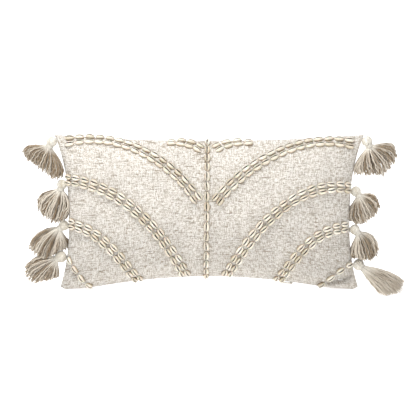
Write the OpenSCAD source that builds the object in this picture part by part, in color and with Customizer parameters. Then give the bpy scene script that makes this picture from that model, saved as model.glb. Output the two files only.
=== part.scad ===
// Lumbar throw pillow standing on its two lower corners, with rows of cowrie shells sewn on
// the front and four yarn tassels down each side.
// Millimetres. +X to the right, +Y to the back, +Z up. The origin is on the floor under the middle.

/* [Cover] */
// Half the width across the corners
corner_w = 291.5; // [289:0.5:294]
// Half the width at the waist, where the side seams draw in
waist_w = 267.5; // [264:0.5:270]
// Height of the top seam in the middle
top_mid = 283.5; // [276:0.5:290]
// How much higher the top corners stand
top_rise = 11.5; // [6:0.5:14]
// Height of the bottom seam in the middle, above the floor
arch_rise = 24; // [22:0.5:26]
// Half the thickness of the stuffed pillow
bulge = 66; // [58:1:72]
// Thickness of the woven cover
cloth_t = 1.2; // [0.8:0.1:1.6]

/* [Insert] */
// Space between the cover and the insert inside it
insert_gap = 3; // [2:0.5:5]
// Space left over the zip at the bottom seam
zip_room = 18; // [18:1:24]
// Thickness of the insert's ticking
ticking_t = 0.8; // [0.6:0.1:1.2]

/* [Shells] */
// Length of one cowrie
shell_l = 17; // [14:0.2:17]
// Width of one cowrie
shell_w = 10; // [8:0.2:10.6]
// Least spacing of the cowries along a row
shell_pitch = 18.2; // [18.2:0.1:22]
// Distance between the two rows of a band
band_w = 11.4; // [11:0.1:14]

/* [Tassels] */
// Radius of a small tassel head
head_r = 8.5; // [7:0.1:9]
// Radius of the two large tassel heads
big_head_r = 9.4; // [8:0.1:9.8]
// Radius of the yarn where the neck is bound
neck_r = 6.1; // [5:0.1:6.5]
// Thickness of the binding thread round the neck
binding_t = 1; // [0.6:0.1:1.4]
// Half the depth of a skirt, front to back
skirt_d = 14; // [10:0.5:16]

/* [Zip] */
// Half the length of the zip
zip_half = 165; // [150:1:170]
// Width of the gap in the seam that the slider's neck runs in
slot_w = 2.6; // [2.4:0.1:3]

/* [Hidden] */

cream = [0.86, 0.83, 0.78];
ticking = [0.93, 0.93, 0.92];
shell_colour = [0.90, 0.87, 0.80];
yarn = [0.73, 0.68, 0.61];
thread = [0.90, 0.88, 0.84];
zip_white = [0.88, 0.87, 0.84];
metal = [0.72, 0.70, 0.66];

// Cells of the cover and insert meshes across the width and up the height
cells_w = 26;
cells_h = 16;
// Half the span over which the bottom seam arches clear of the floor
arch_half = 235;
// Small gap that keeps touching pieces apart
clear = 0.15;
// Depth below the floor to which the corners are pressed before they are cut flat
press = 2.5;

// The seam outline: bottom and top heights at x, and how far x reaches at height v (-1 to 1)
function arch(x) = arch_rise * (1 - pow(x / arch_half, 2));
function seam_low(x) = max(arch(x), -press);
function seam_high(x) = top_mid + top_rise * pow(x / corner_w, 2);
function reach(v) = waist_w + (corner_w - waist_w) * pow(abs(v), 2.5);
// Fullness across the width and up the height; the lower part is squarer than the top
function full_w(u) = pow(max(0, 1 - pow(abs(u), 3.6)), 0.6);
function full_h(v) = v < 0 ? pow(max(0, 1 - pow(-v, 3.2)), 0.55) : pow(max(0, 1 - pow(v, 2.2)), 0.7);

// A point of the front surface, drawn in by 'inset' all round and by 'lift' more at the bottom
function skin(u, v, inset, lift) =
    let (x = u * (reach(v) - inset))
    let (low = inset > 0 ? max(arch(x) + inset + lift, inset) : seam_low(x))
    let (high = seam_high(x) - inset)
    let (z = low + (high - low) * (v + 1) / 2)
    [x, -(bulge - inset) * full_w(u) * full_h(v), z];

// Depth of the outer surface at a point of the front, and the surface point and normal there
function level(x, z) = 2 * (z - seam_low(x)) / (seam_high(x) - seam_low(x)) - 1;
function depth(x, z) =
    let (v = max(-0.999, min(0.999, level(x, z))))
    bulge * full_w(min(0.999, abs(x) / reach(v))) * full_h(v);
function on_front(x, z) = [x, -depth(x, z), z];
function unit(a) = a / norm(a);
function outward(x, z) =
    unit([(depth(x - 0.5, z) - depth(x + 0.5, z)), -1, (depth(x, z - 0.5) - depth(x, z + 0.5))]);

// Grid parameters, packed closer together towards the seams
function spread(i, n) = sin(-90 + 180 * i / n);
function grid(inset, lift) = [for (j = [0:cells_h]) for (i = [0:cells_w])
    skin(spread(i, cells_w), spread(j, cells_h), inset, lift)];
function at(i, j) = j * (cells_w + 1) + i;
cells = [for (j = [0:cells_h - 1]) for (i = [0:cells_w - 1]) [i, j]];
count = (cells_w + 1) * (cells_h + 1);
// The edge of the grid, walked once round
rim = concat([for (i = [0:cells_w - 1]) at(i, 0)],
    [for (j = [0:cells_h - 1]) at(cells_w, j)],
    [for (i = [cells_w:-1:1]) at(i, cells_h)],
    [for (j = [cells_h:-1:1]) at(0, j)]);
rim_n = len(rim);
function on_rim(k) =
    let (i = k % (cells_w + 1), j = floor(k / (cells_w + 1)))
    i == 0 || i == cells_w || j == 0 || j == cells_h;

// Two triangles a cell, split so that each corner of the grid has a point off the rim
function front_faces(k) = [for (c = cells)
    let (a = k + at(c[0], c[1]), b = a + 1, d = b + cells_w + 1, e = d - 1)
    each (c[0] < cells_w / 2) == (c[1] < cells_h / 2)
        ? [[a, d, e], [a, b, d]]
        : [[a, b, e], [b, d, e]]];
function flipped(faces) = [for (f = faces) [f[2], f[1], f[0]]];
function rim_faces(k) = [for (i = [0:rim_n - 1]) let (a = rim[i], b = rim[(i + 1) % rim_n]) each [
    [a, k + b, b],
    [a, k + a, k + b]]];

// Front half of a stuffed case: a thin skin between two insets, open at the seam plane
module half_case(inset, wall, lift) {
    polyhedron(
        points = concat(grid(inset, lift), grid(inset + wall, lift)),
        faces = concat(front_faces(0), flipped(front_faces(count)), rim_faces(count)),
        convexity = 6);
}

// Arc of the bottom seam: a profile in (distance above the seam, distance to the back) swept
// along it between two distances from the middle
seam_r = (arch_half * arch_half) / (2 * arch_rise);
function seam_angle(s) = asin(s / seam_r);
module along_seam(s0, s1) {
    translate([0, 0, arch_rise - seam_r])
        rotate([90, 0, 0])
            rotate([0, 0, 90 - seam_angle(s1)])
                rotate_extrude(angle = seam_angle(s1) - seam_angle(s0), $fn = 180)
                    translate([seam_r, 0])
                        children();
}
module bar(low, high, back, front) {
    translate([low, -front])
        square([high - low, front - back]);
}

module cover_half() {
    difference() {
        half_case(0, cloth_t, 0);
        translate([-corner_w - 10, -bulge - 10, -20])
            cube([2 * corner_w + 20, bulge + 20, 20]);
        along_seam(-zip_half - 8, zip_half + 8)
            bar(-3, 4, -slot_w / 2, slot_w / 2);
    }
}

module front_panel() {
    color(cream)
        cover_half();
}

// The outline is the same left and right, so the back is the front turned half round
module back_panel() {
    color(cream)
        rotate([0, 0, 180])
            cover_half();
}

insert_inset = cloth_t + insert_gap;

module insert_front() {
    color(ticking)
        half_case(insert_inset, ticking_t, zip_room - insert_inset);
}

module insert_back() {
    color(ticking)
        rotate([0, 0, 180])
            half_case(insert_inset, ticking_t, zip_room - insert_inset);
}

// The filling is the insert's inside: the same grid to the front and, mirrored, to the back,
// sharing its points round the rim
module filling() {
    inset = insert_inset + ticking_t + clear;
    front = grid(inset, zip_room - insert_inset);
    color([0.96, 0.96, 0.96])
        polyhedron(
            points = concat(front, [for (p = front) [p[0], -p[1], p[2]]]),
            faces = concat([for (f = flipped(front_faces(0))) [for (k = f) on_rim(k) ? k : k + count]],
                front_faces(0)),
            convexity = 4);
}

// Zip in the bottom seam
coil_up = 4.6;
coil_r = 1.3;
coil_off = coil_r + clear;
tape_off = coil_off + coil_r + clear;
tape_t = 0.5;

module zip_tape(side) {
    color(zip_white)
        along_seam(-zip_half - 6, zip_half + 6)
            bar(coil_up - 1, 15, side > 0 ? tape_off : -tape_off - tape_t,
                side > 0 ? tape_off + tape_t : -tape_off);
}

module zip_coil(side) {
    color(zip_white)
        along_seam(-zip_half, zip_half)
            translate([coil_up, side * coil_off])
                circle(r = coil_r, $fn = 10);
}

module zip_tape_front() {
    zip_tape(1);
}

module zip_tape_back() {
    zip_tape(-1);
}

module zip_coil_front() {
    zip_coil(1);
}

module zip_coil_back() {
    zip_coil(-1);
}

// A stop is crimped round both coils, just beyond the end of the teeth
module zip_stop(s) {
    color(metal)
        along_seam(s, s + 3)
            bar(coil_up - 1.2, coil_up + 1.2, -coil_r, coil_r);
}

module zip_top_stop() {
    zip_stop(zip_half + clear);
}

module zip_bottom_stop() {
    zip_stop(-zip_half - clear - 3);
}

// The slider cups the coils from below; its neck passes out through the seam to the pull.
// Heights are above the seam, so those outside it are negative.
slider_s = zip_half - 12;
slider_l = 10;
slider_t = 0.9;
slider_low = 2.25;
slider_high = 7.2;
neck_l = 5;
wall_in = tape_off + tape_t + 0.35;
pull_hole_r = 1;
lug_low = -4.4;
lug_mid = -2.6;
lug_t = 1.6;
module zip_slider() {
    mid = slider_s + slider_l / 2;
    color(metal)
        difference() {
            union() {
                along_seam(slider_s, slider_s + slider_l)
                    bar(slider_low, slider_low + slider_t, -wall_in - slider_t, wall_in + slider_t);
                for (side = [-1, 1])
                    along_seam(slider_s, slider_s + slider_l)
                        bar(slider_low + slider_t / 2, slider_high,
                            side > 0 ? wall_in : -wall_in - slider_t,
                            side > 0 ? wall_in + slider_t : -wall_in);
                along_seam(mid - neck_l / 2, mid + neck_l / 2)
                    bar(lug_low, slider_low + slider_t / 2, -lug_t / 2, lug_t / 2);
            }
            pull_pivot()
                rotate([90, 0, 0])
                    cylinder(r = pull_hole_r, h = 6, center = true, $fn = 32);
        }
}

// The pull turns on a pin in the slider's neck and lies tucked up along the seam, pointing to the
// middle of the pillow
pull_s = slider_s + slider_l / 2;
pull_l = 17;
pull_rise = 5;
module pull_pivot() {
    a = seam_angle(pull_s);
    translate([(seam_r + lug_mid) * sin(a), 0, arch_rise - seam_r + (seam_r + lug_mid) * cos(a)])
        children();
}

module zip_pull() {
    color(metal)
        pull_pivot()
            rotate([0, pull_rise, 0]) {
                rotate([90, 0, 0])
                    cylinder(r = pull_hole_r - 0.1, h = 5.2, center = true, $fn = 32);
                for (side = [-1, 1])
                    translate([-6, side * 2 - 0.6, -1])
                        cube([7.2, 1.2, 2]);
                translate([-pull_l, -2.6, -1])
                    cube([pull_l - 5.9, 5.2, 2]);
            }
}

// One cowrie, lying on its back: length along Z, opening towards +Y
module cowrie() {
    difference() {
        rotate_extrude(angle = 180, $fn = 24)
            polygon([for (a = [-90:22.5:90])
                [shell_w / 2 * cos(a) * (1 - 0.1 * sin(a)), shell_l / 2 * sin(a)]]);
        translate([-0.6, shell_w / 2 - 1.4, -shell_l * 0.34])
            cube([1.2, 3, shell_l * 0.66]);
    }
}

// Points along a curve with four control points, and its length on the cloth
function curve(p, t) =
    p[0] * pow(1 - t, 3) + p[1] * 3 * t * pow(1 - t, 2) + p[2] * 3 * t * t * (1 - t) + p[3] * pow(t, 3);
function laid(p, t) = let (q = curve(p, t)) on_front(q[0], q[1]);
curve_steps = 48;
function travel(p) = [for (i = 0, s = 0; i <= curve_steps;
    s = s + norm(laid(p, (i + 1) / curve_steps) - laid(p, i / curve_steps)), i = i + 1)
    [s, i / curve_steps]];

// A row of cowries at even spacing along a curve, moved sideways on the cloth by 'off'
module shell_row(p, off) {
    way = travel(p);
    length = way[curve_steps][0];
    n = floor(length / shell_pitch);
    for (i = [0:n - 1]) {
        t = lookup((i + 0.5) * length / n, way);
        here = laid(p, t);
        ahead = unit(laid(p, t + 0.01) - laid(p, t - 0.01));
        side = cross(outward(here[0], here[2]), ahead);
        spot = here + side * off;
        foot = on_front(spot[0], spot[2]);
        up = outward(spot[0], spot[2]);
        across = unit(cross(up, ahead));
        along = cross(across, up);
        lift = foot + up * clear;
        multmatrix([
            [across[0], up[0], along[0], lift[0]],
            [across[1], up[1], along[1], lift[1]],
            [across[2], up[2], along[2], lift[2]],
            [0, 0, 0, 1]])
            cowrie();
    }
}

module shell_band(p) {
    color(shell_colour) {
        shell_row(p, -band_w / 2);
        shell_row(p, band_w / 2);
    }
}

module shells_centre() {
    color(shell_colour)
        shell_row([[-6, 28], [-5, 112], [-4, 197], [-3, 282]], 0);
}

module shells_crown_left() {
    shell_band([[-12, 265], [-30, 276], [-52, 279], [-80, 279]]);
}

module shells_crown_right() {
    shell_band([[8, 265], [26, 276], [50, 279], [84, 279]]);
}

module shells_upper_left() {
    shell_band([[-19, 174], [-75, 262], [-177, 295], [-271, 281]]);
}

module shells_upper_right() {
    shell_band([[10, 172], [75, 254], [177, 293], [272, 277]]);
}

module shells_middle_left() {
    shell_band([[-44, 33], [-83, 123], [-162, 208], [-268, 211]]);
}

module shells_middle_right() {
    shell_band([[32, 33], [75, 118], [157, 220], [264, 195]]);
}

module shells_lower_left() {
    shell_band([[-133, 22], [-163, 68], [-199, 124], [-263, 127]]);
}

module shells_lower_right() {
    shell_band([[131, 22], [155, 69], [194, 126], [259, 122]]);
}

module shells_corner_left() {
    color(shell_colour)
        shell_row([[-222, 8], [-242, 20], [-253, 45], [-267, 63]], 0);
}

module shells_corner_right() {
    color(shell_colour)
        shell_row([[208, 9], [226, 25], [245, 44], [271, 51]], 0);
}

// Tassels: side, height of the sewn loop, slope of the skirt below level, turn to the front,
// distance from the head's centre to the yarn ends, half the width there, head radius
tassels_left = [
    [-1, 284, 61, 0, 66, 30, head_r],
    [-1, 204, 72, 0, 64, 20, head_r],
    [-1, 124, 40, 0, 64, 20, head_r],
    [-1, 63, 27, 0, 66, 17, big_head_r]];
tassels_right = [
    [1, 285, 62, 0, 65, 30, head_r],
    [1, 190, 53, 0, 60, 20, head_r],
    [1, 116, 45, 0, 58, 18, head_r],
    [1, 47.5, 26, 43, 70, 20, big_head_r]];
// Centre of the loop: how far it stands off the side seam, and off the head
loop_off = 2.1;
loop_r = 1.15;
loop_thread_r = 0.45;
// Share of the skirt's slope taken by the head where it leaves the seam
head_share = 0.3;

// A typical x of the side seams, where the height of a loop along its seam is judged
side_x = 275;
function loop_x(t) = t[0] * (reach(level(side_x, t[1])) + loop_off);
module at_loop(t) {
    translate([loop_x(t), 0, t[1]])
        children();
}

// Moves to the head's centre, with +Z along the skirt
module at_head(t) {
    slope = t[2] * head_share;
    gap = t[6] + loop_off;
    at_loop(t)
        translate([t[0] * gap * cos(slope), 0, -gap * sin(slope)])
            rotate([0, 0, t[0] > 0 ? -t[3] : 180 + t[3]])
                rotate([0, 90 + t[2], 0])
                    children();
}

module tassel_loop(t) {
    color(thread)
        at_loop(t)
            rotate([90, 0, 0])
                rotate_extrude($fn = 32)
                    translate([loop_r, 0])
                        circle(r = loop_thread_r, $fn = 10);
}

// Where the head ends and the bound neck begins, and where the binding ends
neck_top = 6.4;
neck_low = 12;
module tassel_head(t) {
    color(thread)
        at_head(t)
            rotate_extrude($fn = 40)
                intersection() {
                    circle(r = t[6], $fn = 40);
                    translate([0, -20])
                        square([20, 20 + neck_top]);
                }
}

module tassel_binding(t) {
    color(thread)
        at_head(t)
            rotate_extrude($fn = 40)
                translate([neck_r + 0.05, neck_top + 0.1])
                    square([binding_t, neck_low - neck_top - 0.1]);
}

module tassel_skirt(t) {
    color(yarn)
        difference() {
            at_head(t)
                intersection() {
                    union() {
                        translate([0, 0, neck_top + 0.1])
                            cylinder(r = neck_r, h = neck_low - neck_top, $fn = 40);
                        translate([0, 0, neck_low])
                            cylinder(r1 = neck_r, r2 = t[5], h = t[4] - neck_low, $fn = 40);
                    }
                    translate([-50, -skirt_d, 0])
                        cube([100, 2 * skirt_d, 100]);
                }
            translate([t[0] * 330 - 60, -80, -60])
                cube([120, 160, 60 + 2 * clear]);
        }
}

front_panel();
back_panel();
insert_front();
insert_back();
filling();
zip_tape_front();
zip_tape_back();
zip_coil_front();
zip_coil_back();
zip_slider();
zip_pull();
zip_top_stop();
zip_bottom_stop();
shells_centre();
shells_crown_left();
shells_crown_right();
shells_upper_left();
shells_upper_right();
shells_middle_left();
shells_middle_right();
shells_lower_left();
shells_lower_right();
shells_corner_left();
shells_corner_right();
tassel_loop(tassels_left[0]);  // loop_left_1
tassel_head(tassels_left[0]);  // head_left_1
tassel_binding(tassels_left[0]);  // binding_left_1
tassel_skirt(tassels_left[0]);  // skirt_left_1
tassel_loop(tassels_left[1]);  // loop_left_2
tassel_head(tassels_left[1]);  // head_left_2
tassel_binding(tassels_left[1]);  // binding_left_2
tassel_skirt(tassels_left[1]);  // skirt_left_2
tassel_loop(tassels_left[2]);  // loop_left_3
tassel_head(tassels_left[2]);  // head_left_3
tassel_binding(tassels_left[2]);  // binding_left_3
tassel_skirt(tassels_left[2]);  // skirt_left_3
tassel_loop(tassels_left[3]);  // loop_left_4
tassel_head(tassels_left[3]);  // head_left_4
tassel_binding(tassels_left[3]);  // binding_left_4
tassel_skirt(tassels_left[3]);  // skirt_left_4
tassel_loop(tassels_right[0]);  // loop_right_1
tassel_head(tassels_right[0]);  // head_right_1
tassel_binding(tassels_right[0]);  // binding_right_1
tassel_skirt(tassels_right[0]);  // skirt_right_1
tassel_loop(tassels_right[1]);  // loop_right_2
tassel_head(tassels_right[1]);  // head_right_2
tassel_binding(tassels_right[1]);  // binding_right_2
tassel_skirt(tassels_right[1]);  // skirt_right_2
tassel_loop(tassels_right[2]);  // loop_right_3
tassel_head(tassels_right[2]);  // head_right_3
tassel_binding(tassels_right[2]);  // binding_right_3
tassel_skirt(tassels_right[2]);  // skirt_right_3
tassel_loop(tassels_right[3]);  // loop_right_4
tassel_head(tassels_right[3]);  // head_right_4
tassel_binding(tassels_right[3]);  // binding_right_4
tassel_skirt(tassels_right[3]);  // skirt_right_4
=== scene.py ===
"""Looks of the lumbar throw pillow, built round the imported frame.

Metres, in the frame of the CAD: +X right, +Y away from the camera, +Z up from the floor.
"""

import math

import bpy
import numpy as np
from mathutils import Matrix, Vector
from mathutils.bvhtree import BVHTree


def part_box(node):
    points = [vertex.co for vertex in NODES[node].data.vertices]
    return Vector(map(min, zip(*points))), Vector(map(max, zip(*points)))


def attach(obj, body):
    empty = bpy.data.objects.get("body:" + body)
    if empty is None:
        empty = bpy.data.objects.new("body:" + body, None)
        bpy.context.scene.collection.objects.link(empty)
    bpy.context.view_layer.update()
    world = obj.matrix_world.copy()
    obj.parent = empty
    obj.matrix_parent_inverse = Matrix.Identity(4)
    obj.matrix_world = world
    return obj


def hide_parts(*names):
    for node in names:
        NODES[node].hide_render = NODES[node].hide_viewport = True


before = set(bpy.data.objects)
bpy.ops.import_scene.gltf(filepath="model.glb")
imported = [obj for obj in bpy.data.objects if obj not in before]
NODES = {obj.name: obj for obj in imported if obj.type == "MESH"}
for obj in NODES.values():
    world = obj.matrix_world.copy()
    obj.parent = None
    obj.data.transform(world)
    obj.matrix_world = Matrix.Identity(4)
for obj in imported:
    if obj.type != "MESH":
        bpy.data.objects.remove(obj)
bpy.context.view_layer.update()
MM = 0.001
rng = np.random.default_rng(7)

# ---------------------------------------------------------------- camera
# A short telephoto view from a little above the pillow's top seam
CAMERA_AT = Vector((-0.002, -1.6, 0.341))
LOOKS_AT = Vector((-0.0023, 0, 0.156))
VIEW_WIDTH = 0.792
SENSOR = 36.0

camera_data = bpy.data.cameras.new("camera")
camera_data.sensor_width = SENSOR
camera_data.lens = SENSOR * (CAMERA_AT - LOOKS_AT).length / VIEW_WIDTH
camera = bpy.data.objects.new("camera", camera_data)
camera.location = CAMERA_AT
camera.rotation_euler = (LOOKS_AT - CAMERA_AT).to_track_quat("-Z", "Y").to_euler()
bpy.context.scene.collection.objects.link(camera)
bpy.context.scene.camera = camera


# ---------------------------------------------------------------- mesh helpers
def mesh_object(name, points, faces, material):
    """A smooth mesh from arrays of points and faces."""
    mesh = bpy.data.meshes.new(name)
    mesh.from_pydata(np.asarray(points, float).tolist(), [], [list(map(int, f)) for f in faces])
    mesh.polygons.foreach_set("use_smooth", [True] * len(mesh.polygons))
    mesh.materials.append(material)
    mesh.update()
    obj = bpy.data.objects.new(name, mesh)
    bpy.context.scene.collection.objects.link(obj)
    return obj


def give(obj, name, values):
    """Stores one number or one vector at each point, for the materials to read."""
    values = np.asarray(values, np.float32)
    vector = values.ndim == 2
    kind = "FLOAT_VECTOR" if vector else "FLOAT"
    attribute = obj.data.attributes.new(name, kind, "POINT")
    attribute.data.foreach_set("vector" if vector else "value", values.ravel())


def cad_points(node):
    """The points of a CAD node."""
    mesh = NODES[node].data
    out = np.zeros(len(mesh.vertices) * 3)
    mesh.vertices.foreach_get("co", out)
    return out.reshape(-1, 3)


def middle_of(node):
    """The middle of a CAD node's box."""
    low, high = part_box(node)
    return (np.array(low) + np.array(high)) / 2


def unit(a):
    """Vectors brought to length one."""
    return a / np.maximum(np.linalg.norm(a, axis=-1, keepdims=True), 1e-12)


def grid_faces(rows, columns, wrap=False, first=0):
    """Quads of a grid of points stored row by row."""
    j, i = np.meshgrid(np.arange(rows - 1), np.arange(columns if wrap else columns - 1), indexing="ij")
    k = (i + 1) % columns
    quads = np.stack([j * columns + i, j * columns + k, (j + 1) * columns + k, (j + 1) * columns + i], -1)
    return quads.reshape(-1, 4) + first


def tubes(paths, radii, sides):
    """Closed tubes along paths (n, steps, 3) with radii (n, steps). Returns points, faces, and for
    each point its tube's number, its distance along the tube and its angle round it."""
    paths = np.asarray(paths, float)
    n, steps, _ = paths.shape
    forward = unit(np.gradient(paths, axis=1))
    guide = np.where(np.abs(forward[..., 1:2]) > 0.9, [1.0, 0, 0], [0, 1.0, 0])
    side = unit(np.cross(forward, guide))
    up = np.cross(side, forward)
    turn = np.arange(sides) * 2 * np.pi / sides
    ring = side[:, :, None] * np.cos(turn)[:, None] + up[:, :, None] * np.sin(turn)[:, None]
    points = paths[:, :, None] + ring * np.asarray(radii)[:, :, None, None]
    faces = []
    for t in range(n):
        first = t * steps * sides
        faces += grid_faces(steps, sides, True, first).tolist()
        faces.append(list(range(first + sides - 1, first - 1, -1)))
        faces.append(list(range(first + (steps - 1) * sides, first + steps * sides)))
    gaps = np.linalg.norm(np.diff(paths, axis=1), axis=2)
    along = np.concatenate([np.zeros((n, 1)), np.cumsum(gaps, axis=1)], axis=1)
    tube = np.repeat(np.arange(n), steps * sides)
    along = np.repeat(along.ravel(), sides)
    angle = np.tile(turn, n * steps)
    return points.reshape(-1, 3), faces, tube, along, angle


def bezier(p0, p1, p2, p3, steps):
    """Cubic curves, one for each row of the four arrays of points."""
    t = np.linspace(0, 1, steps)[None, :, None]
    p0, p1, p2, p3 = (np.asarray(p)[:, None] for p in (p0, p1, p2, p3))
    return (1 - t) ** 3 * p0 + 3 * (1 - t) ** 2 * t * p1 + 3 * (1 - t) * t * t * p2 + t**3 * p3


# ---------------------------------------------------------------- materials
class Finish:
    """A node material with short calls to build it. The numbers in a finish are tones and pattern
    sizes; a noise's scale is in cycles a metre."""

    def __init__(self, name, **settings):
        self.material = bpy.data.materials.new(name)
        self.material.use_nodes = True
        self.tree = self.material.node_tree
        self.shader = self.tree.nodes["Principled BSDF"]
        for socket, value in settings.items():
            self.shader.inputs[socket.replace("_", " ")].default_value = value

    def node(self, kind, inputs=None, out=0, **props):
        made = self.tree.nodes.new("ShaderNode" + kind)
        for key, value in props.items():
            setattr(made, key, value)
        for key, value in (inputs or {}).items():
            self.into(made.inputs[key], value)
        return made.outputs[out]

    def into(self, socket, value):
        if isinstance(value, bpy.types.NodeSocket):
            self.tree.links.new(value, socket)
        else:
            socket.default_value = value

    def math(self, operation, a, b=0.0, clamp=False):
        return self.node("Math", {0: a, 1: b}, operation=operation, use_clamp=clamp)

    def read(self, name, out="Vector"):
        node = self.tree.nodes.new("ShaderNodeAttribute")
        node.attribute_name = name
        return node.outputs[out]

    def split(self, vector):
        node = self.tree.nodes.new("ShaderNodeSeparateXYZ")
        self.tree.links.new(vector, node.inputs[0])
        return node.outputs

    def scaled(self, vector, scale):
        return self.node("VectorMath", {0: vector, 1: scale}, operation="MULTIPLY")

    def noise(self, vector, scale=1.0, detail=2.0, roughness=0.5):
        inputs = {"Vector": vector, "Scale": scale, "Detail": detail, "Roughness": roughness}
        return self.node("TexNoise", inputs)

    def ramp(self, value, low, high, a=0.0, b=1.0):
        """value from low..high to a..b, smoothly."""
        return self.node(
            "MapRange", {0: value, 1: low, 2: high, 3: a, 4: b}, interpolation_type="SMOOTHSTEP", clamp=True
        )

    def mix(self, share, a, b, blend="MIX"):
        node = self.tree.nodes.new("ShaderNodeMix")
        node.data_type = "RGBA"
        node.blend_type = blend
        for key, value in ((0, share), (6, a), (7, b)):
            self.into(node.inputs[key], value)
        return node.outputs[2]

    def shaded(self, colour, share):
        """The colour darkened by a share from 0 to 1."""
        grey = self.node("CombineColor", {0: share, 1: share, 2: share})
        return self.mix(1.0, colour, grey, "MULTIPLY")

    def bump(self, height, distance, strength):
        return self.node("Bump", {"Height": height, "Distance": distance, "Strength": strength})

    def set(self, **sockets):
        for key, value in sockets.items():
            self.into(self.shader.inputs[key.replace("_", " ")], value)
        return self.material


def rgb(r, g, b):
    """A colour given as the 0-255 values seen on screen."""
    return tuple(((c / 255 + 0.055) / 1.055) ** 2.4 for c in (r, g, b)) + (1.0,)


def slub_cloth(name, pitch, light, dark, slub, contrast):
    """Plain weave of uneven yarns, laid out on the flat cloth (attribute 'flat', in metres)."""
    f = Finish(name, Roughness=0.92, Sheen_Weight=0.25, Sheen_Roughness=0.5, Specular_IOR_Level=0.2)
    flat = f.read("flat")
    wander = f.scaled(f.node("TexNoise", {"Vector": flat, "Scale": 60.0}, out=1), (0.0012, 0.0012, 0.0012))
    place = f.node("VectorMath", {0: flat, 1: wander}, operation="ADD")
    x, _, z = f.split(place)
    _, _, height_up = f.split(flat)
    # each yarn has its own tone that changes along its length
    weft = f.noise(f.scaled(place, (1 / 0.0085, 1.0, 1 / 0.0023)), 1.0, 2.0, 0.6)
    warp = f.noise(f.scaled(place, (1 / 0.0022, 1.0, 1 / 0.0085)), 1.0, 2.0, 0.6)
    long_weft = f.noise(f.scaled(place, (1 / 0.026, 3.0, 1 / 0.0030)), 1.0, 1.0)
    long_warp = f.noise(f.scaled(place, (1 / 0.0032, 5.0, 1 / 0.034)), 1.0, 1.0)
    cloud = f.noise(place, 22.0, 3.0)
    over = f.math("MULTIPLY", f.math("SINE", f.math("MULTIPLY", x, math.pi / pitch)),
                  f.math("SINE", f.math("MULTIPLY", z, math.pi / pitch)))
    on_top = f.ramp(over, -0.35, 0.35)
    yarn = f.node("Mix", {0: on_top, 2: weft, 3: warp})
    tone = f.ramp(yarn, 0.5 - 0.15 / contrast, 0.5 + 0.10 / contrast)
    base = f.mix(tone, dark, light)
    base = f.mix(f.ramp(long_weft, 0.58, 0.72, 0.0, 0.80), base, slub)
    base = f.mix(f.ramp(long_warp, 0.60, 0.70, 0.0, 0.75), base, rgb(248, 245, 238))
    slubs = f.math("MAXIMUM", f.ramp(long_weft, 0.60, 0.72), f.ramp(long_warp, 0.60, 0.72))
    # painted shade: the cloth is darkened along the gaps between its yarns
    gaps = f.ramp(f.math("ABSOLUTE", over), 0.0, 0.25, 0.55, 1.0)
    base = f.shaded(base, gaps)
    # clouded at random, and darkened towards the bottom seam with painted shade
    tint = f.math("MULTIPLY", f.ramp(cloud, 0.3, 0.7, 0.94, 1.03), f.ramp(height_up, -0.16, 0.06, 0.80, 1.0))
    cloud_and_painted_shade = f.node("CombineColor", {0: tint, 1: tint, 2: f.math("MULTIPLY", tint, 0.995)})
    base = f.mix(1.0, base, cloud_and_painted_shade, "MULTIPLY")
    height = f.math("ADD", f.math("ABSOLUTE", over), f.math("MULTIPLY", slubs, 1.4))
    height = f.math("ADD", height, f.math("MULTIPLY", yarn, 1.6))
    fuzz = f.noise(place, 2600.0, 1.0)
    height = f.math("ADD", height, f.math("MULTIPLY", fuzz, 0.5))
    return f.set(Base_Color=base, Normal=f.bump(height, 0.00042, 0.9))


def yarn_finish(name, light, dark, pale=None):
    """Soft plied yarn. Attributes: 'tint' 0-1 for each yarn, 'ply' (distance along in metres, angle
    round it, share of its length). A third colour, if given, is a painted highlight near each yarn's root."""
    f = Finish(name, Roughness=0.95, Sheen_Weight=0.35, Sheen_Roughness=0.4, Specular_IOR_Level=0.15)
    along, angle, share = f.split(f.read("ply"))
    tint = f.read("tint", "Fac")
    twist = f.math("SINE", f.math("ADD", f.math("MULTIPLY", angle, 2.0), f.math("MULTIPLY", along, 2100.0)))
    fleck_at = {0: f.math("MULTIPLY", along, 350.0), 1: f.math("MULTIPLY", tint, 90.0), 2: angle}
    fleck = f.noise(f.node("CombineXYZ", fleck_at), 1.0, 2.0)
    flecked = f.math("MULTIPLY", f.math("SUBTRACT", fleck, 0.5), 0.7)
    tone = f.math("ADD", f.math("MULTIPLY", tint, 0.75), flecked, clamp=True)
    base = f.mix(tone, dark, light)
    # painted highlight: the yarn is lightened near its root, fading out along it
    if pale:
        base = f.mix(f.ramp(share, 0.03, 0.26, 0.7, 0.0), base, pale)
    # painted shade: the yarn is darkened in the grooves of its twist
    groove = f.ramp(twist, -1.0, 0.2, 0.78, 1.0)
    base = f.shaded(base, groove)
    height = f.math("ADD", twist, f.math("MULTIPLY", fleck, 1.2))
    return f.set(Base_Color=base, Normal=f.bump(height, 0.00018, 0.8))


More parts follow.
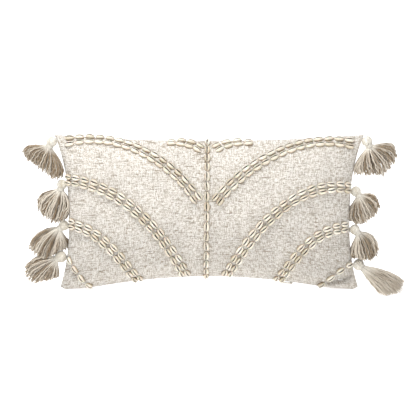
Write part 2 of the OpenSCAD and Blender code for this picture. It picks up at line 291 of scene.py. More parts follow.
def cowrie_finish():
    """Glossy shell, ivory on the lips, stained a little, with painted shade: dark in the slit (attribute
    'slit' 0-1) and darker towards its sides (attribute 'edge' 0-1).
    """
    f = Finish("cowrie", Roughness=0.34, Coat_Weight=0.25, Coat_Roughness=0.2, Subsurface_Weight=0.08,
               Subsurface_Scale=0.002)
    here = f.read("local")
    tint = f.read("tint", "Fac")
    slit = f.read("slit", "Fac")
    body = f.mix(tint, rgb(212, 200, 178), rgb(244, 238, 224))
    stain = f.ramp(f.noise(here, 320.0, 3.0), 0.52, 0.72)
    body = f.mix(f.math("MULTIPLY", stain, 0.35), body, rgb(196, 178, 144))
    # painted shade: the shell darkens towards its sides, down to the cloth
    edge = f.ramp(f.read("edge", "Fac"), 0.5, 1.0, 0.0, 0.85)
    body = f.mix(edge, body, rgb(150, 130, 100))
    # painted shade: the slit's floor is coloured dark for the hollow inside the shell
    body = f.mix(f.ramp(slit, 0.05, 0.7), body, rgb(44, 33, 22))
    fine = f.noise(here, 2400.0, 2.0)
    return f.set(Base_Color=body, Normal=f.bump(fine, 0.00006, 0.5))


def thread_finish(name, colour):
    """Tightly twisted sewing thread (attribute 'ply')."""
    f = Finish(name, Roughness=0.8, Sheen_Weight=0.2, Specular_IOR_Level=0.3)
    along, angle, _ = f.split(f.read("ply"))
    twist = f.math("SINE", f.math("ADD", f.math("MULTIPLY", angle, 2.0), f.math("MULTIPLY", along, 5200.0)))
    shade = f.ramp(twist, -1.0, 0.5, 0.7, 1.0)
    return f.set(Base_Color=f.shaded(colour, shade), Normal=f.bump(twist, 0.00008, 0.6))


def position_cloth(name, colour, other, pitch):
    """Fine plain weave placed by position, for the zip tapes and the insert."""
    f = Finish(name, Roughness=0.85, Sheen_Weight=0.1)
    place = f.node("TexCoord", out="Object")
    x, y, z = f.split(place)
    across = f.math("SINE", f.math("MULTIPLY", f.math("ADD", x, y), math.pi / pitch))
    up = f.math("SINE", f.math("MULTIPLY", z, math.pi / pitch))
    weave = f.math("MULTIPLY", across, up)
    tone = f.math("ADD", f.math("MULTIPLY", f.ramp(weave, -1.0, 1.0), 0.5),
                  f.math("MULTIPLY", f.noise(place, 90.0, 3.0), 0.5))
    return f.set(Base_Color=f.mix(tone, other, colour), Normal=f.bump(weave, 0.00015, 0.6))


def metal_finish():
    """Brushed nickel, a little worn."""
    f = Finish("satin_nickel", Metallic=1.0)
    place = f.node("TexCoord", out="Object")
    brushed = f.noise(f.scaled(place, (400.0, 9000.0, 400.0)), 1.0, 2.0)
    wear = f.noise(place, 260.0, 4.0)
    base = f.mix(f.ramp(wear, 0.35, 0.7), rgb(178, 172, 162), rgb(206, 202, 194))
    rough = f.math("ADD", f.math("MULTIPLY", brushed, 0.22), 0.22)
    return f.set(Base_Color=base, Roughness=rough, Normal=f.bump(brushed, 0.00002, 0.4))


def nylon_finish():
    """The zip's moulded coils."""
    f = Finish("nylon", Roughness=0.45)
    place = f.node("TexCoord", out="Object")
    tone = f.noise(place, 700.0, 2.0)
    return f.set(Base_Color=f.mix(tone, rgb(214, 209, 198), rgb(234, 231, 222)),
                 Normal=f.bump(tone, 0.00005, 0.3))


def fibre_finish():
    """Loose white stuffing."""
    f = Finish("polyester_fibre", Roughness=0.95, Sheen_Weight=0.4)
    place = f.node("TexCoord", out="Object")
    swirl = f.noise(f.scaled(place, (90.0, 90.0, 400.0)), 1.0, 6.0, 0.7)
    return f.set(Base_Color=f.mix(swirl, rgb(226, 226, 224), rgb(250, 250, 250)),
                 Normal=f.bump(swirl, 0.002, 0.8))


COVER = slub_cloth("slub_cloth", 0.0018, rgb(250, 246, 240), rgb(180, 167, 150), rgb(156, 142, 122), 1.3)
TICKING = position_cloth("ticking", rgb(242, 241, 238), rgb(226, 224, 219), 0.0006)
TAPE = position_cloth("zip_tape", rgb(226, 221, 211), rgb(202, 196, 184), 0.0005)
FIBRE = fibre_finish()
NYLON = nylon_finish()
NICKEL = metal_finish()
COWRIE = cowrie_finish()
HEAD_YARN = yarn_finish("head_yarn", rgb(250, 247, 239), rgb(204, 194, 174))
# the skirt yarn's third colour is its painted highlight near the roots
SKIRT_YARN = yarn_finish("skirt_yarn", rgb(252, 243, 228), rgb(142, 120, 92), rgb(250, 246, 236))
BINDING = thread_finish("binding_thread", rgb(238, 233, 222))
THREAD = thread_finish("sewing_thread", rgb(226, 216, 196))


def thread(name, paths, radius, sides, material):
    """Thread of even thickness along paths (n, steps, 3)."""
    radii = np.full(np.shape(paths)[:2], radius)
    points, faces, _, along, angle = tubes(paths, radii, sides)
    obj = mesh_object(name, points, faces, material)
    give(obj, "ply", np.stack([along, angle, 0 * along], -1))
    return obj


# ---------------------------------------------------------------- the pillow's outline
low_corner, high_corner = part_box("front_panel")
CORNER_W = high_corner.x
WAIST_IN = 0.024
WAIST_W = CORNER_W - WAIST_IN
# The top seam dips by TOP_RISE between its corners; the bottom one arches by ARCH_RISE
TOP_RISE = 0.0115
TOP_MID = high_corner.z - TOP_RISE
ARCH_RISE = 0.024
ARCH_HALF = 0.235
BULGE = -low_corner.y
CLOTH_T = 0.0012
FLAT_W, FLAT_H = 0.610, 0.305


def seam_low(x):
    """Height of the bottom seam, which arches between the two corners."""
    return ARCH_RISE * (1 - (x / ARCH_HALF) ** 2)


def seam_high(x):
    """Height of the top seam, which dips in the middle."""
    return TOP_MID + TOP_RISE * (x / CORNER_W) ** 2


def reach(v):
    """Half the width at height v (-1 to 1): the sides draw in between the corners."""
    return WAIST_W + (CORNER_W - WAIST_W) * np.abs(v) ** 2.5


def fullness(u, v):
    """Depth of the first guess at the stuffed shape, 0 on the seam and 1 in the middle."""
    wide = np.maximum(0, 1 - np.abs(u) ** 3.6) ** 0.6
    under = np.maximum(0, 1 - np.abs(v) ** 3.2) ** 0.55
    over = np.maximum(0, 1 - np.abs(v) ** 2.2) ** 0.7
    return wide * np.where(v < 0, under, over)


# ---------------------------------------------------------------- sewing and stuffing the cover
CELLS_W, CELLS_H = 122, 61
U, V = np.meshgrid(np.linspace(-1, 1, CELLS_W + 1), np.linspace(-1, 1, CELLS_H + 1))
ON_SEAM = (np.abs(U) == 1) | (np.abs(V) == 1)
PRESSURE = 9.0
FRAMES = 26
# The cloth starts at this share of its depth; the two flat panels it was cut as lie this far from y = 0
START_SHARE = 0.6
CUT_GAP = 0.002


def stuffed():
    """Two flat panels sewn round the edge and blown up with the seam held on its outline.
    Returns the front and the back as grids of points."""
    x = U * reach(V)
    z = seam_low(x) + (seam_high(x) - seam_low(x)) * (V + 1) / 2
    depth = BULGE * fullness(U, V)
    rows, columns = U.shape
    index = np.arange(rows * columns).reshape(rows, columns)
    inner = ~ON_SEAM
    back_index = index.copy()
    back_index[inner] = rows * columns + np.arange(inner.sum())
    half = START_SHARE * depth
    start = [np.stack([x, -half, z], -1).reshape(-1, 3), np.stack([x, half, z], -1)[inner]]
    flat_x, flat_z, thin = U * FLAT_W / 2, V * FLAT_H / 2, np.where(ON_SEAM, 0, CUT_GAP)
    cut = [np.stack([flat_x, -thin, flat_z], -1).reshape(-1, 3), np.stack([flat_x, thin, flat_z], -1)[inner]]
    front = grid_faces(rows, columns)
    back = back_index.ravel()[front][:, ::-1]
    cloth = mesh_object("stuffing", np.concatenate(start), np.concatenate([front, back]), COVER)
    cloth.shape_key_add(name="stuffed")
    key = cloth.shape_key_add(name="cut_flat")
    key.data.foreach_set("co", np.concatenate(cut).ravel())
    held = cloth.vertex_groups.new(name="seam")
    held.add([int(i) for i in index[ON_SEAM]], 1.0, "REPLACE")
    modifier = cloth.modifiers.new("inflate", "CLOTH")
    settings = modifier.settings
    settings.quality = 7
    settings.mass = 0.2
    settings.air_damping = 2.0
    settings.tension_stiffness = 60
    settings.compression_stiffness = 30
    settings.shear_stiffness = 12
    settings.bending_stiffness = 1.5
    settings.tension_damping = 15
    settings.compression_damping = 15
    settings.use_pressure = True
    settings.uniform_pressure_force = PRESSURE
    settings.vertex_group_mass = "seam"
    settings.rest_shape_key = key
    settings.effector_weights.gravity = 0
    modifier.collision_settings.use_collision = False
    modifier.point_cache.frame_start = 1
    modifier.point_cache.frame_end = FRAMES
    for f in range(1, FRAMES + 1):
        bpy.context.scene.frame_set(f)
    shape = cloth.evaluated_get(bpy.context.evaluated_depsgraph_get())
    points = np.zeros(len(cloth.data.vertices) * 3)
    shape.data.vertices.foreach_get("co", points)
    points = points.reshape(-1, 3)
    bpy.data.objects.remove(cloth)
    bpy.context.scene.frame_set(1)
    return points[index], points[back_index]


def doubled(grid):
    """The grid with a point added between each two, on a smooth curve through its neighbours."""
    for axis in (0, 1):
        g = np.moveaxis(grid, axis, 0)
        padded = np.concatenate([2 * g[:1] - g[1:2], g, 2 * g[-1:] - g[-2:-1]])
        middle = (9 * (padded[1:-2] + padded[2:-1]) - padded[:-3] - padded[3:]) / 16
        out = np.empty((2 * len(g) - 1,) + g.shape[1:])
        out[::2], out[1::2] = g, middle
        grid = np.moveaxis(out, 0, axis)
    return grid


def normals(grid, side):
    """Unit normals of a grid that point to the given side, -1 for the front and 1 for the back."""
    n = unit(np.cross(np.gradient(grid, axis=1), np.gradient(grid, axis=0)))
    return n if (n[..., 1].mean() > 0) == (side > 0) else -n


# How far past its ends a crease fades out
CREASE_FADE = 0.012


def crease(grid, a, b, width, depth, lift):
    """Presses a fold into the front along the line a-b (x, z), with a soft ridge under it."""
    a, b = np.array(a), np.array(b)
    p = grid[..., [0, 2]]
    t = np.clip(((p - a) @ (b - a)) / ((b - a) @ (b - a)), 0, 1)
    away = p - (a + t[..., None] * (b - a))
    across = away @ unit(np.array([-(b - a)[1], (b - a)[0]]))
    past_end = np.linalg.norm(away, axis=-1) - np.abs(across)
    fade = np.exp(-((past_end / CREASE_FADE) ** 2)) * np.sin(np.pi * np.clip(t + 0.08, 0, 1)) ** 0.4
    groove = -depth * np.exp(-(across / width) ** 2)
    ridge = lift * np.exp(-((across + 2.6 * width) / (1.8 * width)) ** 2)
    grid[..., 1] -= (groove + ridge) * fade


# How gently the cloth meets the floor, its lowest point, and the round of the sewn lower corners
FLOOR_SOFT = 0.0025
LOWEST = 0.0002
CORNER_X, CORNER_Z, CORNER_R = 0.274, 0.0160, 0.0155


def settled(grid):
    """Brings the stuffed shape to the CAD's thickness and sets its corners down on the floor."""
    grid = grid.copy()
    grid[..., 1] *= BULGE / np.abs(grid[..., 1]).max()
    z = grid[..., 2]
    bent = FLOOR_SOFT * np.log1p(np.exp(np.minimum(z, 3 * FLOOR_SOFT) / FLOOR_SOFT))
    grid[..., 2] = np.maximum(np.where(z < 3 * FLOOR_SOFT, bent, z) - 0.0001, LOWEST)
    # the sewn corner is rounded off
    ahead, below = np.abs(grid[..., 0]) - CORNER_X, CORNER_Z - grid[..., 2]
    far = np.hypot(ahead, below)
    rounded = (ahead > 0) & (below > 0) & (far > CORNER_R)
    share = np.where(rounded, CORNER_R / np.maximum(far, CORNER_R), 1.0)
    x = np.where(share < 1, CORNER_X + ahead * share, np.abs(grid[..., 0]))
    grid[..., 0] = np.sign(grid[..., 0]) * x
    grid[..., 2] = np.where(share < 1, CORNER_Z - below * share, grid[..., 2])
    return grid


front_grid, back_grid = (doubled(settled(grid)) for grid in stuffed())
# One deep fold over the lower right corner, and shallow puckers by the tassels
crease(front_grid, (0.222, 0.0155), (0.284, 0.0275), 0.0036, 0.0080, 0.0055)
crease(front_grid, (-0.262, 0.104), (-0.205, 0.108), 0.0050, 0.0018, 0.0010)
crease(front_grid, (-0.258, 0.090), (-0.215, 0.086), 0.0050, 0.0014, 0.0010)
crease(front_grid, (-0.272, 0.045), (-0.240, 0.030), 0.0060, 0.0016, 0.0012)
crease(front_grid, (0.240, 0.150), (0.264, 0.158), 0.0050, 0.0015, 0.0008)
U2, V2 = np.meshgrid(np.linspace(-1, 1, front_grid.shape[1]), np.linspace(-1, 1, front_grid.shape[0]))
FLAT = np.stack([U2 * FLAT_W / 2, 0 * U2, V2 * FLAT_H / 2], -1)


# The lowest that the inside of the cloth lies, and where the back is cut from the cloth
INNER_LOWEST = 0.0008
BACK_OFFSET = 0.4


def panel(name, grid, side, thickness, material):
    """A closed skin from a grid of its outer surface."""
    rows, columns = grid.shape[:2]
    inner = grid - normals(grid, side) * thickness
    inner[..., 2] = np.maximum(inner[..., 2], INNER_LOWEST)
    count = rows * columns
    outer_faces = grid_faces(rows, columns)
    if side > 0:
        outer_faces = outer_faces[:, ::-1]
    inner_faces = outer_faces[:, ::-1] + count
    index = np.arange(count).reshape(rows, columns)
    rim = np.concatenate([index[0, :-1], index[:-1, -1], index[-1, :0:-1], index[:0:-1, 0]])
    ahead = np.roll(rim, -1)
    rim_faces = np.stack([ahead, rim, rim + count, ahead + count], -1)
    if side > 0:
        rim_faces = rim_faces[:, ::-1]
    points = np.concatenate([grid.reshape(-1, 3), inner.reshape(-1, 3)])
    obj = mesh_object(name, points, np.concatenate([outer_faces, inner_faces, rim_faces]), material)
    flat = FLAT.copy()
    flat[..., 1] = BACK_OFFSET if side > 0 else 0.0
    give(obj, "flat", np.concatenate([flat.reshape(-1, 3)] * 2))
    return obj


front = panel("cover_front", front_grid, -1, CLOTH_T, COVER)
back = panel("cover_back", back_grid, 1, CLOTH_T, COVER)
for skin, node in ((front, "front_panel"), (back, "back_panel")):
    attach(skin, "cover")
    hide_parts(node)

CLOTH_TREE = BVHTree.FromPolygons(
    [Vector(p) for p in front_grid.reshape(-1, 3)], grid_faces(*front_grid.shape[:2]).tolist()
)


# ---------------------------------------------------------------- insert and filling
INSERT_MIDDLE = np.array([0, 0, 0.15])
# One in so many of the cover's rows and columns is kept for the pieces inside it
COARSE = 4


def stuffing_body(name, depth, lift, material, lumps=0.0):
    """A closed body inside the cover, 'depth' under its surface and 'lift' above the bottom seam,
    with lumps of the given height."""
    a, b = front_grid[::COARSE, ::COARSE].copy(), back_grid[::COARSE, ::COARSE].copy()
    rows, columns = a.shape[:2]
    seam = np.zeros((rows, columns), bool)
    seam[0] = seam[-1] = True
    seam[:, 0] = seam[:, -1] = True
    a, b = a - normals(a, -1) * depth, b - normals(b, 1) * depth
    rim = (a + b) / 2
    rim[..., 1] = 0
    for g in (a, b):
        g[seam] = rim[seam]
        inward = unit((INSERT_MIDDLE - g) * [1, 0, 1])
        g += inward * (depth * 0.9 * seam[..., None])
        g[..., 2] = np.maximum(g[..., 2], seam_low(g[..., 0]) + lift)
        wave = np.sin(g[..., 0] * 90) * np.sin(g[..., 2] * 75 + 1) * lumps
        g[..., 1] -= np.sign(g[..., 1]) * np.abs(wave) * ~seam
    index = np.arange(rows * columns).reshape(rows, columns)
    back_index = index.copy()
    back_index[~seam] = rows * columns + np.arange((~seam).sum())
    faces = grid_faces(rows, columns)
    points = np.concatenate([a.reshape(-1, 3), b[~seam]])
    obj = mesh_object(name, points, np.concatenate([faces, back_index.ravel()[faces][:, ::-1]]), material)
    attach(obj, "cover")
    return obj


insert = stuffing_body("insert", 0.0045, 0.0185, TICKING)
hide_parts("insert_front", "insert_back")
fibre = stuffing_body("filling_fibre", 0.0070, 0.0210, FIBRE, 0.0015)
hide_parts("filling")


# ---------------------------------------------------------------- cowrie shells
SHELL_L, SHELL_W, SHELL_H = 0.0180, 0.0112, 0.0060
STATIONS = 30
TOOTH_PITCH = 0.0015
# Places across a section of the shell, counted from its left edge: its toothed lips, the inner
# edges of the lips and the floor of the slit
LIPS, INNER_LIPS, SLIT = (5, 10), (6, 9), (7, 8)


def cowrie():
    """One cowrie, slit up: length on X, width on Y, height on Z. Returns points, faces, slit, edge; the last
    two are masks of painted shade, in the slit and towards the sides.
    """
    # stations from end to end, closer together at the ends, with the shell's half width, height, the
    # place of its slit and half the slit's width at each
    s = np.sin(np.linspace(-1, 1, STATIONS) * np.pi / 2 * 0.985)
    half = SHELL_W / 2 * np.maximum(0, 1 - np.abs(s) ** 2.3) ** 0.5 * (1 - 0.10 * s)
    tall = SHELL_H * np.maximum(0, 1 - np.abs(s) ** 2.6) ** 0.5
    middle = 0.10 * half + 0.0004 * s * s
    gape = 0.00110 * np.maximum(0, 1 - (s / 0.93) ** 2) ** 0.6 + 0.00005
    teeth = 0.5 + 0.5 * np.cos(2 * np.pi * s * SHELL_L / 2 / TOOTH_PITCH)
    left = [-1.0, -0.97, -0.86, -0.66, -0.42]
    right = [0.46, 0.68, 0.87, 0.97, 1.0]
    points, slit, edge = [], [], []
    for k in range(STATIONS):
        w, h, m, g = half[k], tall[k], middle[k], gape[k]
        lip = min(0.0011, 0.3 * w)
        y = [a * w for a in left] + [m - g - lip, m - g, m - 0.5 * g, m + 0.5 * g, m + g, m + g + lip]
        y += [a * w for a in right]
        for i, out in enumerate(y):
            share = abs(out / max(w, 1e-6))
            z = h * max(0.0, 1 - share**2.4) ** 0.5
            dark = 0.0
            if i in LIPS:
                z += 0.00022 * teeth[k] * h / SHELL_H
            # the inner lips and the slit's floor are marked for painted shade
            if i in INNER_LIPS:
                z -= 0.00035 * (1.3 - teeth[k]) * h / SHELL_H
                dark = 0.25
            if i in SLIT:
                z -= min(0.0022, 0.5 * h)
                dark = 1.0
            points.append((s[k] * SHELL_L / 2, out, z))
            slit.append(dark * (g > 0.0001))
            # how far out to the side a point lies, for the painted shade towards the sides
            edge.append(min(1.0, share) ** 2)
    columns = len(y)
    faces = grid_faces(STATIONS, columns).tolist()
    for k in range(STATIONS - 1):
        faces.append([k * columns, (k + 1) * columns, (k + 2) * columns - 1, (k + 1) * columns - 1])
    faces.append(list(range(columns)))
    faces.append(list(range(STATIONS * columns - 1, (STATIONS - 1) * columns - 1, -1)))
    faces = [f[::-1] for f in faces]
    return np.array(points), faces, np.array(slit), np.array(edge)


def islands(node):
    """The separate solids of a CAD node, as arrays of their points."""
    mesh = NODES[node].data
    points = cad_points(node)
    _, same = np.unique(np.round(points, 6), axis=0, return_inverse=True)
    same = same.ravel()
    parent = np.arange(same.max() + 1)

    def root(i):
        while parent[i] != i:
            parent[i] = parent[parent[i]]
            i = parent[i]
        return i

    for edge in mesh.edges:
        a, b = root(same[edge.vertices[0]]), root(same[edge.vertices[1]])
        parent[a] = b
    roots = np.array([root(i) for i in same])
    return [points[roots == r] for r in np.unique(roots)]


MASTER = cowrie()
SHELL_LIFT = 0.0005
# How far to each side the lie of the cloth is felt under a shell
FEELER = 0.006
# The thread over each end of a shell: its place as a share of the length, its reach and its top
TIE_AT = 0.30
TIE_HALF = 0.0019
TIE_TOP = SHELL_H * 0.93 + 0.0002
TIE_SAG = 0.0007
TIE_STEPS = 9
TIE_R = 0.00028


def shell_row(node):
    """The cowries of a CAD row, set on the cloth where the CAD has them."""
    base, faces, slit, edge = MASTER
    points, all_faces, tints, local, ties = [], [], [], [], []
    n = len(base)
    places = islands(node)
    for k, solid in enumerate(places):
        # where the shell is sewn, and the way out of the cloth there
        middle = solid.mean(0)
        _, _, axes = np.linalg.svd(solid - middle, full_matrices=False)
        along = axes[0] * (1 if axes[0][np.abs(axes[0]).argmax()] > 0 else -1)
        hit = CLOTH_TREE.ray_cast(Vector((middle[0], -0.3, middle[2])), Vector((0, 1, 0)))
        near = CLOTH_TREE.find_nearest(Vector(middle))
        spot, normal = (hit[0], hit[1]) if hit[0] is not None and hit[1].y < -0.35 else (near[0], near[1])
        wide = [CLOTH_TREE.find_nearest(spot + Vector(along) * d)[1] for d in (-FEELER, 0, FEELER)]
        up = np.array(sum((w if w.y < 0.3 else normal for w in wide), Vector((0, 0, 0))).normalized())
        if up[1] > 0 and abs(up[1]) > 0.3:
            up = -up
        # the shell's length and width along the cloth, a little askew as sewn by hand
        along = unit(along - up * (along @ up))
        turn = rng.normal(0, 0.05)
        across = np.cross(up, along)
        if across[2] < 0:
            along, across = -along, -across
        c, d = math.cos(turn), math.sin(turn)
        along, across = along * c + across * d, across * c - along * d
        size = np.array([rng.normal(1, 0.025), rng.normal(1, 0.04), rng.normal(1, 0.05)])
        shape = base * size
        place = np.array(spot) + up * SHELL_LIFT
        points.append(place + shape[:, :1] * along + shape[:, 1:2] * across + shape[:, 2:] * up)
        all_faces += [[i + k * n for i in f] for f in faces]
        tints.append(np.full(n, np.clip(rng.normal(0.6, 0.25), 0, 1)))
        local.append(base + rng.uniform(-1, 1, 3))
        for end in (-1, 1):
            at = place + along * end * SHELL_L * TIE_AT * size[0]
            span = np.linspace(-1, 1, TIE_STEPS)
            ties.append([at + across * (t * TIE_HALF) + up * (TIE_TOP - TIE_SAG * t**4) for t in span])
    name = node.replace("shells", "cowries")
    obj = mesh_object(name, np.concatenate(points), all_faces, COWRIE)
    give(obj, "tint", np.concatenate(tints))
    give(obj, "slit", np.tile(slit, len(places)))
    give(obj, "edge", np.tile(edge, len(places)))
    give(obj, "local", np.concatenate(local))
    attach(obj, "cover")
    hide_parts(node)
    return obj, ties


rows, ties = [], []
for node in sorted(n for n in NODES if n.startswith("shells_")):
    made, sewn = shell_row(node)
    rows.append(made)
    ties += sewn

stitches = thread("shell_stitches", ties, TIE_R, 5, THREAD)
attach(stitches, "cover")


# ---------------------------------------------------------------- tassels
# Where the ends of each skirt's yarns lie, from one side of its fan to the other: millimetres from
# the place in HUNG_FROM (right, forward to the camera, up)
FANS = {
    "left_1": [(-56, 0, -20), (-48, 0, -35), (-30, 0, -48), (-14, 0, -61), (2, 0, -72), (16, 2, -70)],
    "left_2": [(-38, 0, -32), (-40, 0, -47), (-34, 0, -58), (-13, 0, -74), (3, 0, -74), (13, 2, -62)],
    "left_3": [(-65, 0, -38), (-61, 0, -52), (-41, 0, -71), (-27, 0, -66), (-9, -6, -54), (12, -10, -44)],
    "left_4": [(-58, 4, -6), (-71, 4, -18), (-69, 6, -36), (-56, 8, -47), (-27, 6, -43), (-9, 0, -38)],
    "right_1": [(50, 0, -12), (54, 0, -32), (48, 0, -48), (31, 0, -66), (2, 0, -67), (-22, -3, -66)],
    "right_2": [(37, 0, -18), (41, 0, -32), (33, 0, -48), (18, 0, -60), (2, 0, -63), (-13, -2, -56)],
    "right_3": [(46, 0, -37), (43, 0, -50), (34, 0, -60), (18, 0, -59), (6, 0, -56), (-4, -3, -52)],
    "right_4": [(78, 12, -26), (74, 26, -34), (64, 44, -41), (50, 58, -43), (34, 66, -43.5), (24, 56, -42)],
}
# How far the yarns of each skirt bow outwards, as a share of their length, and the length that the
# painted highlight at their roots is spread over (the length below for the rest)
BOW = {"left_1": 0.26, "left_2": 0.28, "left_3": 0.15, "left_4": 0.13,
       "right_1": 0.26, "right_2": 0.30, "right_3": 0.24, "right_4": 0.06}
ROOT_HIGHLIGHT = {"left_3": 0.10, "left_4": 0.09, "right_4": 0.17}
ROOT_HIGHLIGHT_LENGTH = 0.07
# Painted light: how much lighter the yarns of some skirts are made than the same yarn of the others
PAINTED_LIGHT_GAIN = {"left_4": 0.15, "right_4": 0.5}
# Where the fan of each skirt hangs from, in millimetres (x, z)
HUNG_FROM = {
    "left_1": (-296, 284), "left_2": (-285, 203), "left_3": (-279, 125), "left_4": (-281, 61),
    "right_1": (299, 286), "right_2": (281, 189), "right_3": (275.5, 115), "right_4": (291, 45.5),
}
YARNS = 215
YARN_R = 0.00106
YARN_STEPS = 14
# The yarns gather in locks: how many, how far towards the middle of its lock a yarn is drawn, and
# how far out of place a lock hangs
LOCKS = 31
LOCK_DRAW = 0.35
LOCK_STRAY = np.array([0.0012, 0.001, 0.0012])
# Half the depth of a skirt front to back, how far its yarns wave, and the share of them, picked at random,
# that is dimmed as painted shade
SKIRT_DEPTH = 0.017
YARN_WAVE = 0.0011
DIM_SHARE = 0.34
# Where the yarns leave the neck, and how low they may lie
ROOT_DROP = 0.0105
ROOT_R = 0.0046
YARN_LOW = 0.0013
# The head is plumper than the CAD's ball and sits closer to the seam; its yarns are folded over a core
HEAD_SCALE = 1.12
HEAD_TUCK = 0.003
FOLDS, FOLD_STEPS, FOLD_R = 15, 22, 0.0020
FOLD_PLY = 0.03
CORE_RINGS, CORE_SIDES = 11, 16
CORE_TINT = 0.3
# The thread wound round the neck, from and to a distance below the head's centre
WRAP_FROM, WRAP_TO, WRAP_R = 0.0066, 0.0120, 0.0066
WRAP_TURNS, WRAP_SIDES = 6, 22
WRAP_THREAD_R = 0.00062
# The threads of the hanging loop
LOOP_STRANDS, LOOP_STEPS = 5, 14
LOOP_HALF = 0.0026
LOOP_THREAD_R = 0.0005


class Tassel:
    """One tassel, placed from its CAD nodes."""

    def __init__(self, name):
        self.name = name
        # the CAD's head is a ball cut flat at the neck, so its centre is fitted
        ball = cad_points("head_" + name)
        terms = np.c_[2 * ball, np.ones(len(ball))]
        fit = np.linalg.lstsq(terms, (ball**2).sum(1), rcond=None)[0]
        centre = fit[:3]
        self.head_r = HEAD_SCALE * math.sqrt(fit[3] + centre @ centre)
        self.axis = unit(middle_of("binding_" + name) - centre)
        self.pivot = middle_of("loop_" + name)
        self.toward = unit(centre - self.pivot)
        self.centre = centre - self.toward * HEAD_TUCK
        self.side = unit(np.cross(self.axis, [0, 1.0, 0]))
        self.deep = np.cross(self.side, self.axis)
        # 'side' points to the end of the fan that is counted last
        self.fan = np.array(FANS[name], float) * MM * [1, -1, 1]
        if (self.fan[-1] - self.fan[0]) @ self.side < 0:
            self.side = -self.side

    def placed(self, obj, part):
        """Joins a piece to the tassel's body in place of the CAD node of that part."""
        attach(obj, "tassel_" + self.name)
        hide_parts(part + "_" + self.name)

    def round_axis(self, turn):
        """Directions square to the axis, at each turn."""
        return self.side * np.cos(turn)[..., None] + self.deep * np.sin(turn)[..., None]

    def skirt(self):
        """Cut yarns that fan out from under the head and draw together in locks."""
        name, fan, side, deep = self.name, self.fan, self.side, self.deep
        q = (np.arange(YARNS) + rng.uniform(0, 1, YARNS)) / YARNS
        lock = np.floor(q * LOCKS + rng.uniform(-0.5, 0.5, YARNS))
        lock = np.clip(lock, 0, LOCKS - 1).astype(int)
        pull = rng.uniform(-1, 1, (LOCKS, 3))
        layer = rng.uniform(-1, 1, YARNS)

        # the ends, spaced evenly along the fan's edge
        gone = np.concatenate([[0], np.cumsum(np.linalg.norm(np.diff(fan, axis=0), axis=1))])
        at = np.interp(q * gone[-1], gone, np.arange(len(fan))) * 0.99999
        k = np.minimum(at.astype(int), len(fan) - 2)
        tip = fan[k] + (fan[k + 1] - fan[k]) * (at - k)[:, None]
        drawn = ((lock + 0.5) / LOCKS - q)[:, None] * LOCK_DRAW * (fan[-1] - fan[0])
        tip = tip + drawn + pull[lock] * LOCK_STRAY
        length = np.linalg.norm(tip, axis=1, keepdims=True)
        tip = tip * (1 - 0.10 * np.abs(layer)[:, None] ** 2) * rng.normal(1, 0.03, (YARNS, 1))
        tip[:, 1] += layer * SKIRT_DEPTH * np.sin(np.pi * np.clip(0.12 + 0.76 * q, 0, 1)) ** 0.7
        hung_x, hung_z = HUNG_FROM[name]
        tip += np.array([hung_x, 0, hung_z]) * MM
        tip[:, 2] = np.maximum(tip[:, 2], 0.0016 + 0.004 * rng.random(YARNS) ** 2)

        # the way down to them, bowed outwards
        spread = (2 * q - 1)[:, None]
        through = deep * layer[:, None]
        start = self.centre + self.axis * ROOT_DROP + side * spread * ROOT_R
        start = start + through * ROOT_R * np.sqrt(1 - 0.8 * spread**2)
        out = tip - start
        bow = side * spread * BOW[name] * length + through * 0.10 * length
        p1 = start + self.axis * 0.08 * length + out * 0.18 + bow * 0.85
        p2 = start + out * 0.68 + bow + np.array([0, 0, 0.07]) * length
        p2[:, 2] = np.maximum(p2[:, 2], YARN_LOW + 0.0001)
        paths = bezier(start, p1, p2, tip, YARN_STEPS)
        t = np.linspace(0, 1, YARN_STEPS)
        phase = rng.uniform(0, 2 * np.pi, (YARNS, 1, 3))
        rate = rng.uniform(2.0, 4.5, (YARNS, 1, 1))
        wave = t[None, :, None]
        paths = paths + np.sin(phase + rate * 2 * np.pi * wave) * wave * YARN_WAVE
        paths[..., 2] = np.maximum(paths[..., 2], YARN_LOW)

        thick = np.interp(t, [0, 0.15, 0.9, 1], [0.62, 0.95, 1.05, 0.7])
        radii = YARN_R * rng.normal(1, 0.10, (YARNS, 1)) * thick
        points, faces, tube, along, angle = tubes(paths, radii, 5)
        skirt = mesh_object("yarn_" + name, points, faces, SKIRT_YARN)
        dim, bright = rng.random(YARNS) < DIM_SHARE, PAINTED_LIGHT_GAIN.get(name, 0)
        # painted shade: the dim yarns are coloured dark; the rest vary in tone at random
        tint = np.where(dim, rng.uniform(0, 0.25, YARNS), rng.uniform(0.55, 1, YARNS))
        # painted light: some skirts' yarns are lightened
        tint = tint * (1 - bright) + bright
        give(skirt, "tint", tint[tube])
        # the third 'ply' value places the painted highlight near the roots
        give(skirt, "ply", np.stack([along, angle, along / ROOT_HIGHLIGHT.get(name, ROOT_HIGHLIGHT_LENGTH)], -1))
        self.placed(skirt, "skirt")

    def head(self):
        """Yarns folded over a core and drawn in at the neck."""
        turn = np.arange(FOLDS)[:, None] * 2 * np.pi / FOLDS
        fall = np.linspace(0.10, 1, FOLD_STEPS)[None]
        polar = fall * np.pi * 0.80
        twist = turn + 0.9 * fall + rng.uniform(-0.06, 0.06, (FOLDS, 1))
        ring = (self.head_r - FOLD_R * 0.75) * np.sin(polar) * (1 + 0.03 * np.sin(3 * turn))
        ring = np.maximum(ring, np.where(polar > 1.6, 0.0048, 0.0))
        rise = -(self.head_r - FOLD_R * 0.5) * np.cos(polar)
        wound = self.centre + self.round_axis(twist) * ring[..., None] + self.axis * rise[..., None]
        thick = np.interp(np.linspace(0, 1, FOLD_STEPS), [0, 0.25, 0.7, 1], [0.0009, FOLD_R, FOLD_R, 0.0010])
        points, faces, tube, along, angle = tubes(wound, np.broadcast_to(thick, (FOLDS, FOLD_STEPS)), 7)

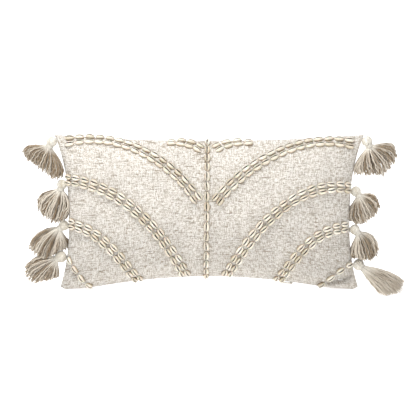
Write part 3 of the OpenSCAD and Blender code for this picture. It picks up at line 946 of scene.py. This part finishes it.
        turns = np.arange(CORE_SIDES) * 2 * np.pi / CORE_SIDES
        turns, polar = np.meshgrid(turns, np.linspace(0.02, np.pi * 0.98, CORE_RINGS))
        way = self.round_axis(turns) * np.sin(polar)[..., None] + self.axis * np.cos(polar)[..., None]
        core = self.centre + (self.head_r - 1.5 * FOLD_R) * way
        first, count = len(points), CORE_RINGS * CORE_SIDES
        faces += grid_faces(CORE_RINGS, CORE_SIDES, True, first).tolist()
        faces.append(list(range(first + CORE_SIDES - 1, first - 1, -1)))
        faces.append(list(range(first + count - CORE_SIDES, first + count)))
        points = np.concatenate([points, core.reshape(-1, 3)])
        head = mesh_object("head_yarn_" + self.name, points, faces, HEAD_YARN)
        tint = np.clip(rng.normal(0.7, 0.25, FOLDS), 0, 1)
        give(head, "tint", np.concatenate([tint[tube], np.full(count, CORE_TINT)]))
        ply = np.stack([along, angle, along / FOLD_PLY], -1)
        give(head, "ply", np.concatenate([ply, np.zeros((count, 3))]))
        self.placed(head, "head")

    def binding(self):
        """Thread wound round the neck."""
        turn = np.arange(WRAP_TURNS * WRAP_SIDES + 1) * 2 * np.pi / WRAP_SIDES
        rise = np.linspace(WRAP_FROM, WRAP_TO, len(turn))
        wide = WRAP_R + 0.0003 * np.sin(turn * 0.5)
        coil = self.centre + self.round_axis(turn) * wide[:, None] + self.axis * rise[:, None]
        wrap = thread("neck_thread_" + self.name, coil[None], WRAP_THREAD_R, 6, BINDING)
        self.placed(wrap, "binding")

    def loop(self):
        """Threads that run from the seam into the head."""
        t = np.linspace(-1, 1, LOOP_STEPS)
        up = np.array([0, 1.0, 0])
        across = np.cross(self.toward, up)
        around = (0.00062 + 0.0004 * t**2)[:, None]
        strands = []
        for k in range(LOOP_STRANDS):
            spin = k * 2 * np.pi / LOOP_STRANDS + 2.2 * t
            ring = up * np.cos(spin)[:, None] + across * np.sin(spin)[:, None]
            strands.append(self.pivot + self.toward * (t * LOOP_HALF)[:, None] + ring * around)
        made = thread("loop_thread_" + self.name, strands, LOOP_THREAD_R, 6, BINDING)
        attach(made, "loop_" + self.name)
        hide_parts("loop_" + self.name)


for name in FANS:
    tassel = Tassel(name)
    tassel.skirt()
    tassel.head()
    tassel.binding()
    tassel.loop()

# ---------------------------------------------------------------- zip, kept from the CAD
for node, finish in (
    ("zip_tape_front", TAPE), ("zip_tape_back", TAPE), ("zip_coil_front", NYLON), ("zip_coil_back", NYLON),
    ("zip_slider", NICKEL), ("zip_pull", NICKEL), ("zip_top_stop", NICKEL), ("zip_bottom_stop", NICKEL),
):
    mesh = NODES[node].data
    mesh.materials.clear()
    mesh.materials.append(finish)


# ---------------------------------------------------------------- floor, backdrop and light
def backdrop():
    """A pale floor that curves up behind the pillow."""
    f = Finish("studio", Roughness=1.0, Specular_IOR_Level=0.0, Emission_Strength=0.62,
               Emission_Color=(1, 1, 1, 1))
    grain = f.noise(f.node("TexCoord", out="Object"), 8.0, 2.0)
    f.set(Base_Color=f.mix(grain, (0.90, 0.90, 0.90, 1), (0.93, 0.93, 0.93, 1)))
    # half the floor's width, the radius of its bend, where the bend starts and how high it ends
    wide, bend, depth, high = 9.0, 0.9, 2.5, 6.0
    profile = [(-wide, 0.0), (depth, 0.0)]
    for a in np.linspace(0.1, np.pi / 2, 14):
        profile.append((depth + bend * math.sin(a), bend * (1 - math.cos(a))))
    profile.append((depth + bend, high))
    points = [(x, y, z) for y, z in profile for x in (-wide, wide)]
    obj = mesh_object("studio_floor", points, grid_faces(len(profile), 2), f.material)


def area_light(name, at, aim, size, power):
    """A soft white rectangle of light, aimed at a point, with its power in watts."""
    data = bpy.data.lights.new(name, "AREA")
    data.shape = "RECTANGLE"
    data.size, data.size_y = size
    data.energy = power
    obj = bpy.data.objects.new(name, data)
    obj.location = at
    obj.rotation_euler = (Vector(aim) - Vector(at)).to_track_quat("-Z", "Y").to_euler()
    bpy.context.scene.collection.objects.link(obj)


backdrop()
area_light("key", (-0.30, -0.55, 1.45), (0, 0, 0.14), (1.1, 0.6), 22)
area_light("fill", (0.6, -1.9, 0.7), (0, 0, 0.15), (1.6, 1.2), 3.5)
area_light("wall", (0, 1.6, 2.2), (0, 2.9, 0.6), (3.0, 1.0), 25)
world = bpy.data.worlds.new("world")
world.use_nodes = True
sky = world.node_tree.nodes["Background"].inputs
sky["Color"].default_value = (1, 1, 1, 1)
sky["Strength"].default_value = 0.30
bpy.context.scene.world = world
bpy.context.scene.view_settings.view_transform = "Standard"
